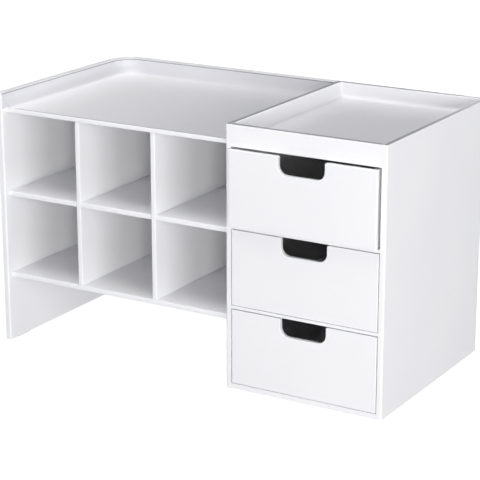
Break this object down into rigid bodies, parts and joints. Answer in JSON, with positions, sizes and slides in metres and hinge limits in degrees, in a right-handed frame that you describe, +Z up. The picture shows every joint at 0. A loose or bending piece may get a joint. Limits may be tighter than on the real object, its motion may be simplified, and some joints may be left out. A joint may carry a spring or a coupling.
{
  "type": "desk organizer",
  "caption": "White desk organizer: an open cubby unit under a rimmed tray and over a low bay, joined to a tower of inset drawers with finger cut-outs and a tray top.",
  "frame": {"origin": "on the surface it stands on, midway across the width, and midway between the top drawer's front face at rest and the back", "axes": "+X to the right along the width, -Y to the front where the drawers open, +Z up"},
  "size_m": [0.425, 0.225, 0.2565],
  "materials": {
    "case_board": "white satin, smooth moulded or foil-faced board with softened edges",
    "drawer_board": "white satin, the same board as the case",
    "pad_rubber": "soft light grey rubber",
    "screw_steel": "zinc-plated steel"
  },
  "bodies": {
    "case": {"left_and_back_wall": "case_board", "tray_shelf": "case_board", "middle_shelf": "case_board", "bottom_shelf": "case_board", "cubby_divider_1": "case_board", "cubby_divider_2": "case_board", "tower_left_wall": "case_board", "tower_right_and_back_wall": "case_board", "tower_top_rail": "case_board", "tower_tray_floor": "case_board", "tower_base": "case_board", "drawer_runner_1": "case_board", "drawer_runner_2": "case_board", "joining_screw_1": "screw_steel", "joining_screw_2": "screw_steel", "joining_screw_3": "screw_steel", "joining_screw_4": "screw_steel", "foot_pad_1": "pad_rubber", "foot_pad_2": "pad_rubber", "foot_pad_3": "pad_rubber", "foot_pad_4": "pad_rubber", "foot_pad_5": "pad_rubber", "foot_pad_6": "pad_rubber"},
    "drawer_1": {"drawer_1_front": "drawer_board", "drawer_1_left_side": "drawer_board", "drawer_1_right_side": "drawer_board", "drawer_1_bottom": "drawer_board", "drawer_1_back": "drawer_board"},
    "drawer_2": {"drawer_2_front": "drawer_board", "drawer_2_left_side": "drawer_board", "drawer_2_right_side": "drawer_board", "drawer_2_bottom": "drawer_board", "drawer_2_back": "drawer_board"},
    "drawer_3": {"drawer_3_front": "drawer_board", "drawer_3_left_side": "drawer_board", "drawer_3_right_side": "drawer_board", "drawer_3_bottom": "drawer_board", "drawer_3_back": "drawer_board"}
  },
  "joints": [
    {"name": "drawer_1_slide", "type": "slide", "parent": "case", "child": "drawer_1", "axis": [0, -1, 0], "range_m": [-0.005, 0.155]},
    {"name": "drawer_2_slide", "type": "slide", "parent": "case", "child": "drawer_2", "axis": [0, -1, 0], "range_m": [0, 0.16]},
    {"name": "drawer_3_slide", "type": "slide", "parent": "case", "child": "drawer_3", "axis": [0, -1, 0], "range_m": [0, 0.16]}
  ]
}
